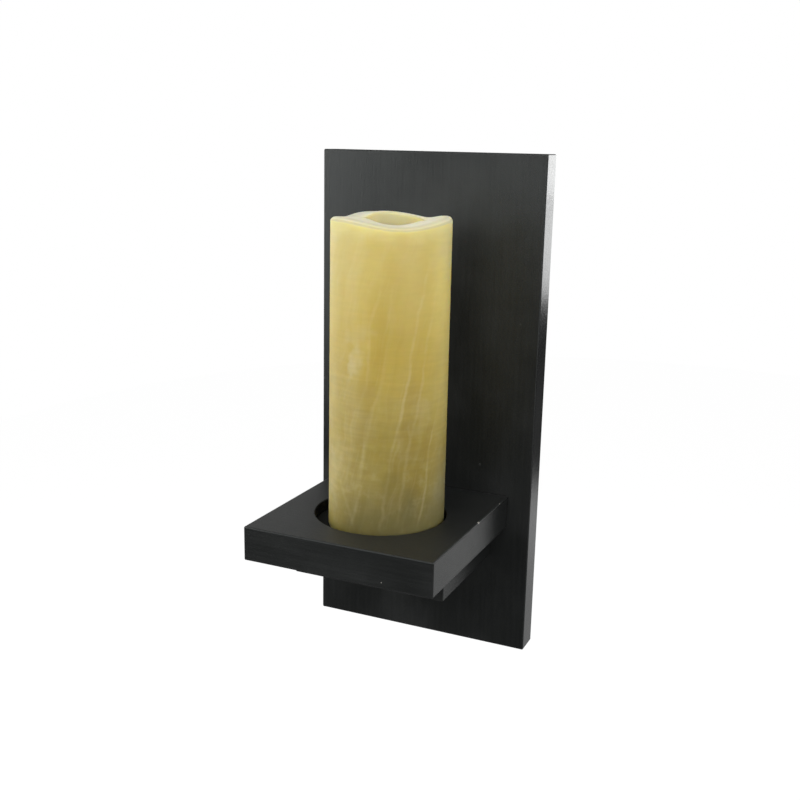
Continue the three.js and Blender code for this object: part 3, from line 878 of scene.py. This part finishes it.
def grow(name, tree, outline, sharpDegrees, values, places, body, slotName, *nodes):
    # Grows a piece from an outline by a geometry tree, at each of the places
    piece = pointsObject(name, outline, [(i, i + 1) for i in range(len(outline) - 1)])
    marks = pointsObject(name + "Places", places)
    values = {**values, "Places": marks, "Material": materials[slotName]}
    modifier = piece.modifiers.new(name, "NODES")
    modifier.node_group = tree
    for item in tree.interface.items_tree:
        if item.in_out == "INPUT" and item.name in values:
            modifier[item.identifier] = values[item.name]
    applied(piece)
    cleaned(piece.data, piece.data, 1e-7, sharpDegrees)
    bpy.data.objects.remove(marks)
    finished(piece, body, slotName, *nodes)


def arc(centreRadius, centreHeight, radius, fromDegrees, toDegrees, steps=8):
    points = []
    for step in range(steps + 1):
        angle = math.radians(fromDegrees + (toDegrees - fromDegrees) * step / steps)
        points.append((centreRadius + radius * math.cos(angle), centreHeight + radius * math.sin(angle)))
    return points


def outlineOf(corners, longest=None, unit=mm):
    # Points of an outline in the XZ plane, with long straight runs split into even steps
    points = [Vector((corners[0][0], 0, corners[0][1]))]
    for radius, height in corners[1:]:
        end = Vector((radius, 0, height))
        start = points[-1]
        steps = 1 if longest is None else max(1, math.ceil((end - start).length / longest))
        points += [start.lerp(end, step / steps) for step in range(1, steps + 1)]
    return [point * unit for point in points]


# Boards and hangers: smooth copies of the solids, whose eased edges and recess are round already
copyLook = {"nearest": 2e-6, "flatDegrees": 0.4, "boardSharp": 44.0, "hangerSharp": 30.0}
# reach and fade of the painted shade inside the shelf's recess
recessLook = {"reach": 43.9 * mm, "fade": 1 * mm}
hangerLook = {"edge": 0.12 * mm, "steps": 2, "edgeDegrees": 50}


def smoothCopy(name, node, sharpDegrees, material):
    mesh = bpy.data.meshes.new(name)
    cleaned(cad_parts[node].data, mesh, copyLook["nearest"], sharpDegrees, copyLook["flatDegrees"])
    mesh.materials.append(material)
    return linkedObject(name, mesh)


def finishedCopy(piece, slotName, node):
    even = piece.modifiers.new("evenNormals", "WEIGHTED_NORMAL")
    even.keep_sharp = True
    applied(piece)
    finished(piece, "bracket", slotName, node)


def makeBoards(recess):
    for node, board in boardLooks.items():
        paint = paintMaterial(node, board, paintLook, recess)
        piece = smoothCopy(board["name"], node, copyLook["boardSharp"], paint)
        finishedCopy(piece, "black_paint_board", node)


def makeHangers(look):
    for name, node in (("hangerLeft", "hanger_left"), ("hangerRight", "hanger_right")):
        strip = smoothCopy(name, node, copyLook["hangerSharp"], materials["zinc_sheet"])
        rounding = strip.modifiers.new("brokenEdges", "BEVEL")
        rounding.width = look["edge"]
        rounding.segments = look["steps"]
        rounding.limit_method = "ANGLE"
        rounding.angle_limit = math.radians(look["edgeDegrees"])
        finishedCopy(strip, "zinc_sheet", node)


# Screws
screwLook = {  # in millimetres
    "board": {"head": 8.0, "headDepth": 3.4, "core": 2.8, "thread": 4.0, "pitch": 1.8, "tip": 6.0},
    "hanger": {"head": 5.6, "headDepth": 1.7, "core": 2.0, "thread": 2.9, "pitch": 1.1, "tip": 3.0},
    "land": 0.3,
    "landEdge": (0.05, 0.08),
    "topEdge": 0.12,
    "neck": 0.4,
    "plainNeck": 2.0,
    "crossLength": 0.56,  # shares of the head
    "crossWidth": 0.14,
    "crossDepth": 0.24,
    "rowsPerPitch": 6,
    "segments": 30,
    "ridge": (0.28, 0.5),  # of half a turn
    "threadStart": 4.0,
    "threadEnd": 2.0,
    "threadInside": 0.3,
}


def makeScrewTree(look):
    # Countersunk screw along -Z with a thread on its shank and a cross recess in its head, at each place
    thread = {"Thread Low": -0.03, "Thread High": -0.005, "Thread Depth": 0.0005, "Pitch": 0.0018}
    cross = {"Cross Size": (0.004, 0.001, 0.002)}
    tree, given, result = newGeometryTree("countersunkScrew", thread, cross, placeInputs)
    body, angle, height, radius = turnedBody(tree, given)
    ridge = ramp(calc("PINGPONG", height / given["Pitch"] + angle / (2 * math.pi), 0.5), *look["ridge"])
    starts = ramp(height - given["Thread Low"], 0.0, look["threadStart"] * mm)
    ends = ramp(given["Thread High"] - height, 0.0, look["threadEnd"] * mm)
    within = starts * ends * calc("GREATER_THAN", radius, look["threadInside"] * mm)
    body = radialMove(body, ridge * within * given["Thread Depth"])
    bar = wire(tree, "GeometryNodeMeshCube", {"Size": given["Cross Size"]}, "Mesh")
    turnedBar = wire(tree, "GeometryNodeTransform", {"Geometry": bar, "Rotation": (0, 0, math.pi / 2)})
    for cutter in (bar, turnedBar):
        meshes = {"Mesh 1": body, "Mesh 2": cutter}
        body = wire(tree, "GeometryNodeMeshBoolean", meshes, "Mesh", operation="DIFFERENCE", solver="EXACT")
    placedAndPainted(body, given, result)
    return tree


def screwOutline(sizes, length, look):
    head, core = sizes["head"] / 2, sizes["core"] / 2
    neck, land, edge = -sizes["headDepth"] - look["neck"], look["land"], look["topEdge"]
    landIn, landUp = look["landEdge"]
    row = sizes["pitch"] / look["rowsPerPitch"]
    tip = outlineOf([(0, -length), (core, -length + sizes["tip"])], row)
    shank = outlineOf([(core, -length + sizes["tip"]), (core, neck)], row)
    top = outlineOf([
        (core, neck), (head - landIn, -land), (head, -land + landUp), (head, -edge), (head - edge, 0), (0, 0),
    ])
    return tip + shank[1:] + top[1:]


def placesOf(nodes, aimedUp=False):
    # Middle of the lower end of each piece that aims up, or else of its rear end
    places = []
    for low, high in map(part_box, nodes):
        middle = (low + high) / 2
        places.append((middle.x, middle.y, low.z) if aimedUp else (middle.x, high.y, middle.z))
    return places


def makeScrews(name, nodes, sizes, aimedUp, look):
    low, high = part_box(nodes[0])
    length = (high.z - low.z if aimedUp else high.y - low.y) / mm
    head = sizes["head"] * mm
    values = {
        "Segments": look["segments"],
        "Thread Low": -length * mm,
        "Thread High": (-sizes["headDepth"] - look["plainNeck"]) * mm,
        "Thread Depth": (sizes["thread"] - sizes["core"]) / 2 * mm,
        "Pitch": sizes["pitch"] * mm,
        "Cross Size": (head * look["crossLength"], head * look["crossWidth"], 2 * head * look["crossDepth"]),
        "Turn": (math.pi, 0, 0) if aimedUp else (-math.pi / 2, 0, 0),
    }
    outline = screwOutline(sizes, length, look)
    grow(name, screwTree, outline, 30.0, values, placesOf(nodes, aimedUp), "bracket", "zinc_steel", *nodes)


screwTree = makeScrewTree(screwLook)

# Dowels and felt, in millimetres
dowelLook = {
    "radius": 4.0, "length": 30.0, "chamfer": 1.0, "flutes": 24, "fluteDepth": 0.3, "fluteEnd": 0.5,
    "segments": 144,
}
feltLook = {
    "radius": 33.0, "thickness": 1.0, "edge": 0.4, "slack": (0.05, 0.02), "segments": 180, "step": 1.2,
    "unevenness": 0.06, "unevenScale": 900.0, "seed": (0.3, 0.1, 0.7),
}


def unevenBy(look):
    return {
        "Segments": look["segments"], "Unevenness": look["unevenness"] * mm,
        "Uneven Scale": look["unevenScale"], "Seed": look["seed"],
    }


def makeDowels(look):
    nodes = ("shelf_dowel_left", "shelf_dowel_right")
    radius, length, chamfer = look["radius"], look["length"], look["chamfer"]
    outline = outlineOf([
        (0, 0), (radius - chamfer, 0), (radius, chamfer), (radius, length - chamfer),
        (radius - chamfer, length), (0, length),
    ])
    values = {
        "Segments": look["segments"], "Flutes": look["flutes"], "Flute Depth": look["fluteDepth"] * mm,
        "Flute Low": look["fluteEnd"] * mm, "Flute High": (length - look["fluteEnd"]) * mm,
        "Turn": (math.pi / 2, 0, 0),
    }
    grow("shelfDowels", ringTree, outline, 40.0, values, placesOf(nodes), "bracket", "beech", *nodes)


def makeFelt(look, axis):
    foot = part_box("pillar_felt")[0].z
    edge, (inset, lift) = look["edge"], look["slack"]
    edgeCentre = look["radius"] - edge - inset
    top = look["thickness"] - lift
    corners = [
        (0, lift), *arc(edgeCentre, lift + edge, edge, -90, 0, 4),
        *arc(edgeCentre, top - edge, edge, 0, 90, 4), (0, top),
    ]
    outline, places = outlineOf(corners, look["step"]), [(axis.x, axis.y, foot)]
    grow("pillarFelt", ringTree, outline, 60.0, unevenBy(look), places, "pillar", "black_felt", "pillar_felt")


# The pillar
def carvedBy(lobes, angle):
    lift = 0.0
    for degrees, spread, amount in lobes:
        share = calc("WRAP", angle - math.radians(degrees), math.pi, -math.pi) / math.radians(spread)
        lift = calc("EXPONENT", share * share * -0.5) * amount + lift
    return lift


def makePillarTree(shape):
    # The pillar: turned, then carved at the rim by one lobe for each direction
    rim = {"Height": 0.2, "Rim Blend": 0.014}
    tree, given, result = newGeometryTree("carvedPillar", rim, unevenInputs, placeInputs)
    body, angle, height, radius = turnedBody(tree, given)
    inner = ramp(radius, *shape["innerFade"], 1.0, 0.0)
    outer = ramp(radius, *shape["outerFade"])
    lift = inner * carvedBy(shape["innerLobes"], angle) + carvedBy(shape["lobes"], angle)
    lift = outer * carvedBy(shape["outerLobes"], angle) + lift
    blend = ramp(height, given["Height"] - given["Rim Blend"], given["Height"])
    carved = moved(body, Offset=joined(0.0, 0.0, lift * blend))
    placedAndPainted(roughened(carved, given), given, result)
    return tree


def makePillar(shape, axis):
    low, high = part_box("stone_pillar")
    footRadius = (high.x - low.x) / 2
    topRadius, height, wellRadius = shape["topRadius"], shape["height"], shape["wellRadius"]
    chamfer, rimEdge, mouthEdge = shape["footChamfer"], shape["rimEdge"], shape["mouthEdge"]
    floor, floorEdge = height - shape["wellDepth"], shape["wellFloorEdge"]
    corners = [
        (0, 0),
        (footRadius - chamfer, 0),
        *arc(footRadius - chamfer, chamfer, chamfer, -90, 0, 4),
        (topRadius, height - shape["rimBlend"]),
        *arc(topRadius - rimEdge, height - rimEdge, rimEdge, 0, 90, 10),
        *arc(wellRadius + mouthEdge, height - mouthEdge, mouthEdge, 90, 180, 8),
        *arc(wellRadius - floorEdge, floor + floorEdge, floorEdge, 0, -90, 4),
        (0, floor),
    ]
    values = {
        "Segments": shape["segments"], "Height": height, "Rim Blend": shape["rimBlend"],
        "Unevenness": shape["unevenness"], "Uneven Scale": shape["unevenScale"], "Seed": shape["seed"],
    }
    grow(
        "stonePillar", makePillarTree(shape), outlineOf(corners, shape["rowStep"], 1.0), 60.0, values,
        [(axis.x, axis.y, low.z)], "pillar", "honey_onyx", "stone_pillar",
    )


# The tealight, in millimetres
cupLook = {
    "radius": 19.2, "foot": 18.6, "height": 17.0, "wall": 0.4, "lip": 0.25, "footEdge": 0.8, "floorEdge": 0.6,
    "neck": (1.0, 1.2), "step": 0.8, "pleats": 48, "pleatDepth": 0.22, "pleatEnds": (1.6, 1.1),
    "pleatInside": 0.9, "segments": 384, "unevenness": 0.05, "unevenScale": 160.0, "seed": (2.0, 5.0, 1.0),
}
waxLook = {
    "depth": 13.5, "hollow": 0.6, "gap": 0.1, "wallGap": 0.35, "edge": (0.25, 0.2), "meniscus": (0.9, 0.25),
    "hollowShare": 0.6, "mound": (1.6, 0.7, 0.22, 0.3), "step": 1.0,
    "segments": 144, "unevenness": 0.09, "unevenScale": 260.0, "seed": (4.0, 1.0, 9.0),
}
tabLook = {
    "radius": 6.5, "thickness": 0.4, "tube": 1.5, "tubeHeight": 4.0, "bore": 1.0, "edge": 0.1, "fillet": 0.3,
    "step": 0.6, "segments": 72, "crimps": 6, "crimpDepth": 0.12, "crimpEnds": (2.6, 0.6), "crimpInside": 1.2,
}
wickLook = {
    "radius": 0.9, "above": 6.0, "lean": 0.9, "bend": 1.6, "rows": 24, "strands": 3, "strandRadius": 0.43,
    "spread": 0.42, "turns": 7.0, "step": 0.25, "strandSides": 10,
}


def makeWickTree(look):
    # Cotton strands twisted around each other along a path
    sizes = {"Strands": 3, "Strand Radius": 0.0004, "Spread": 0.0004, "Turns": 6.0, "Step": 0.0003}
    tree, given, result = newGeometryTree("twistedWick", sizes, {"Material": "NodeSocketMaterial"})
    path = wire(tree, "GeometryNodeMeshToCurve", {0: given["Geometry"]})
    path = wire(tree, "GeometryNodeResampleCurve", {"Curve": path, "Length": given["Step"]}, mode="LENGTH")
    tilt = wire(tree, "GeometryNodeSplineParameter", output="Factor") * given["Turns"] * (2 * math.pi)
    path = wire(tree, "GeometryNodeSetCurveTilt", {"Curve": path, "Tilt": tilt})
    rings = [
        {"Resolution": given["Strands"], "Radius": given["Spread"]},
        {"Resolution": look["strandSides"], "Radius": given["Strand Radius"]},
    ]
    ring, strand = [wire(tree, "GeometryNodeCurvePrimitiveCircle", sizes, "Curve") for sizes in rings]
    strands = wire(tree, "GeometryNodeInstanceOnPoints", {"Points": ring, "Instance": strand})
    strands = wire(tree, "GeometryNodeRealizeInstances", {0: strands})
    sweep = {"Curve": path, "Profile Curve": strands, "Fill Caps": True}
    painted(wire(tree, "GeometryNodeCurveToMesh", sweep), given, result)
    return tree


def makeTealight(cup, wax, tab, wick, axis):
    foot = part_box("tealight_cup")[0].z
    places = [(axis.x, axis.y, foot)]
    slope = (cup["radius"] - cup["foot"]) / cup["height"]

    def inside(height):
        return cup["foot"] + slope * height - cup["wall"]

    lip, footEdge, floorEdge = cup["lip"], cup["footEdge"], cup["floorEdge"]
    neckOut, neckIn = cup["neck"]
    corners = [
        (0, 0), (cup["foot"] - footEdge, 0), *arc(cup["foot"] - footEdge, footEdge, footEdge, -80, 0, 5),
        (cup["radius"] - lip, cup["height"] - neckOut),
        *arc(cup["radius"] - lip, cup["height"] - lip, lip, -60, 180, 8),
        (inside(cup["height"] - neckIn), cup["height"] - neckIn), (inside(1.0), 1.0),
        *arc(inside(1.0) - floorEdge, cup["wall"] + floorEdge, floorEdge, 0, -90, 4), (0, cup["wall"]),
    ]
    pleatLow, pleatHigh = cup["pleatEnds"]
    values = {
        **unevenBy(cup), "Flutes": cup["pleats"], "Flute Depth": cup["pleatDepth"] * mm,
        "Flute Low": pleatLow * mm, "Flute High": (cup["height"] - pleatHigh) * mm,
        "Flute Inside": cup["foot"] * cup["pleatInside"] * mm,
    }
    outline = outlineOf(corners, cup["step"])
    grow("tealightCup", ringTree, outline, 40.0, values, places, "tealight", "thin_aluminium", "tealight_cup")

    gap = wax["gap"]
    base = cup["wall"] + gap
    tabTop = base + tab["thickness"]
    tubeTop = tabTop + tab["tubeHeight"]
    waxTop = cup["wall"] + wax["depth"]
    dip = waxTop - wax["hollow"]
    edgeIn, edgeDown = wax["edge"]
    brim, brimDown = wax["meniscus"]
    moundOut, moundIn, moundLow, moundHigh = wax["mound"]
    waxWall = inside(waxTop) - wax["wallGap"]
    wickGap, tubeGap, tabGap = wick["radius"] + gap, tab["tube"] + gap, tab["radius"] + gap
    corners = [
        (tabGap, base), (inside(base) - wax["wallGap"], base), (waxWall, waxTop - edgeDown),
        (waxWall - edgeIn, waxTop), (inside(waxTop) * brim, waxTop - brimDown),
        (inside(waxTop) * wax["hollowShare"], dip), (wick["radius"] + moundOut, dip),
        (wick["radius"] + moundIn, dip + moundLow), (wickGap, dip + moundHigh), (wickGap, tubeTop + gap),
        (tubeGap, tubeTop + gap), (tubeGap, tabTop + gap), (tabGap, tabTop + gap), (tabGap, base),
    ]
    outline = outlineOf(corners, wax["step"])
    values = unevenBy(wax)
    grow("tealightWax", ringTree, outline, 50.0, values, places, "tealight", "white_wax", "tealight_wax")

    bore, radius, tube, edge, fillet = [tab[key] for key in ("bore", "radius", "tube", "edge", "fillet")]
    corners = [
        (bore, base), (radius - edge, base), (radius, base + edge), (radius, tabTop - edge),
        (radius - edge, tabTop), (tube + fillet, tabTop), (tube, tabTop + fillet), (tube, tubeTop),
        (bore, tubeTop), (bore, base),
    ]
    crimpLow, crimpHigh = tab["crimpEnds"]
    values = {
        "Segments": tab["segments"], "Flutes": tab["crimps"], "Flute Depth": tab["crimpDepth"] * mm,
        "Flute Low": (tubeTop - crimpLow) * mm, "Flute High": (tubeTop - crimpHigh) * mm,
        "Flute Inside": tab["crimpInside"] * mm,
    }
    outline = outlineOf(corners, tab["step"])
    grow("wickTab", ringTree, outline, 40.0, values, places, "tealight", "zinc_steel", "wick_tab")

    path = []
    for row in range(wick["rows"] + 1):
        height = base + row / wick["rows"] * (dip + wick["above"] - base)
        over = max(0.0, (height - dip) / wick["above"])
        path.append(Vector(places[0]) + Vector((wick["lean"] * over ** wick["bend"], 0, height)) * mm)
    values = {
        "Strands": wick["strands"], "Strand Radius": wick["strandRadius"] * mm, "Spread": wick["spread"] * mm,
        "Turns": wick["turns"], "Step": wick["step"] * mm,
    }
    grow("cottonWick", makeWickTree(wick), path, 60.0, values, [], "tealight", "cotton_wick", "wick")


# Floor, light and background
studioLook = {
    "floorHeight": -0.62,
    "floorCentre": (-0.1, 1.2),
    "floorRadius": 1.5,
    "floorColour": colour(0.12, 0.12, 0.12),
    "floorWhite": 0.95,
    "floorMirrored": (0.75, 1.2, 0.40, 0.66),  # two distances, and the brightness at each
    "floorEnd": (1.30, 1.45, 1.0, 0.03),
    "white": colour(1, 1, 1),
    "room": (-0.15, 0.7, 0.05, 0.32),  # two heights of a direction, and the brightness at each
    "backdrop": (0.0, 0.35, 1.2, 0.35),
    "backdropEnd": (-0.16, -0.10, 0.03, 1.0),
    "behind": (-0.1, 0.5),
}
lamps = [  # name, place, aim, size and watts
    ("softboxLeft", (-0.85, -0.75, 0.14), (0.0, -0.08, -0.05), (0.7, 0.9), 7.6),
    ("softboxSide", (-1.00, 0.15, -0.05), (0.0, -0.09, -0.10), (0.5, 0.8), 2.3),
    ("softboxRight", (0.80, -0.50, 0.18), (0.0, -0.08, -0.04), (0.6, 0.6), 5.1),
    ("softboxFront", (0.12, -1.00, 0.30), (0.0, -0.08, -0.04), (0.6, 0.4), 2.9),
    ("softboxAbove", (-0.05, -0.35, 0.80), (0.0, -0.10, 0.0), (0.6, 0.5), 1.2),
    ("cardHigh", (0.28, 0.67, 0.16), (0.08, 0.0, 0.0), (0.24, 0.36), 0.68),
    ("cardLow", (0.28, 0.67, -0.0825), (0.08, 0.0, -0.05), (0.24, 0.125), 0.135),
]


def emptyTree(owner):
    owner.use_nodes = True
    owner.node_tree.nodes.clear()
    return owner.node_tree


def seenAndGlossy(tree):
    # Whether a ray comes from the camera, and whether it shows a reflection
    rays = wires(tree, "ShaderNodeLightPath")
    return calc("MAXIMUM", rays["Is Camera Ray"], rays["Is Transmission Ray"]), rays["Is Glossy Ray"]


def makeFloor(look):
    work = bmesh.new()
    bmesh.ops.create_circle(work, cap_ends=True, radius=look["floorRadius"], segments=96)
    mesh = bpy.data.meshes.new("floor")
    work.to_mesh(mesh)
    work.free()
    mesh.transform(Matrix.Translation((*look["floorCentre"], look["floorHeight"])))
    floor = linkedObject("floor", mesh)
    material = bpy.data.materials.new("paleFloor")
    tree = emptyTree(material)
    away = offAxis(objectPlace(tree))
    mirrored = ramp(away, *look["floorMirrored"]) * ramp(away, *look["floorEnd"])
    seen, glossy = seenAndGlossy(tree)
    strength = glossy * mirrored + seen * look["floorWhite"]
    glow = wire(tree, "ShaderNodeEmission", {"Color": look["white"], "Strength": strength})
    matt = wire(tree, "ShaderNodeBsdfDiffuse", {"Color": look["floorColour"]})
    both = wire(tree, "ShaderNodeAddShader", {0: glow, 1: matt})
    addNode(tree, "ShaderNodeOutputMaterial", {"Surface": both})
    mesh.materials.append(material)


def makeWorld(look):
    scene.world = bpy.data.worlds.new("studio")
    tree = emptyTree(scene.world)
    y, z = split(wire(tree, "ShaderNodeTexCoord", output="Generated"))[1:]
    backdrop = ramp(z, *look["backdrop"]) * ramp(z, *look["backdropEnd"])
    level = mixNumber(ramp(y, *look["behind"]), ramp(z, *look["room"]), backdrop)
    strength = mixNumber(seenAndGlossy(tree)[0], level, 1.0)
    sky = wire(tree, "ShaderNodeBackground", {"Color": look["white"], "Strength": strength})
    addNode(tree, "ShaderNodeOutputWorld", {"Surface": sky})


def makeLamps(plan):
    for name, place, aim, size, watts in plan:
        data = bpy.data.lights.new(name, "AREA")
        data.shape = "RECTANGLE"
        data.size, data.size_y = size
        data.energy = watts
        lamp = linkedObject(name, data)
        lamp.visible_camera = False
        turn = (Vector(aim) - Vector(place)).to_track_quat("-Z", "Y")
        lamp.matrix_world = Matrix.Translation(place) @ turn.to_matrix().to_4x4()


placeCamera(cameraLook)
makeWorld(studioLook)
makeFloor(studioLook)
makeLamps(lamps)
scene.view_settings.view_transform = "Standard"
print("studio ready")

stoneLow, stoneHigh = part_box("stone_pillar")
pillarAxis = (stoneLow + stoneHigh) / 2
materials = {slotName: metalMaterial(metalLook, *values) for slotName, values in metals.items()}
for slotName, values in softStuffs.items():
    materials[slotName] = softMaterial(softLook, *values)
materials["honey_onyx"] = onyxMaterial(onyxLook, pillarShape, pillarAxis, stoneLow.z)
recessTop = Vector((0, pillarAxis.y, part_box("shelf_board")[1].z))
makeBoards({"node": "shelf_board", "centre": recessTop, **recessLook})
makeHangers(hangerLook)
for name, nodes, kind, aimedUp in (
    ("plateScrews", ["shelf_screw_left", "shelf_screw_right", "support_screw_left", "support_screw_right"],
     "board", False),
    ("underScrews", ["under_screw_%d" % n for n in range(1, 5)], "board", True),
    ("hangerScrews", ["hanger_screw_%d" % n for n in range(1, 5)], "hanger", False),
):
    makeScrews(name, nodes, screwLook[kind], aimedUp, screwLook)
makeDowels(dowelLook)
makeFelt(feltLook, pillarAxis)
makePillar(pillarShape, pillarAxis)
makeTealight(cupLook, waxLook, tabLook, wickLook, pillarAxis)
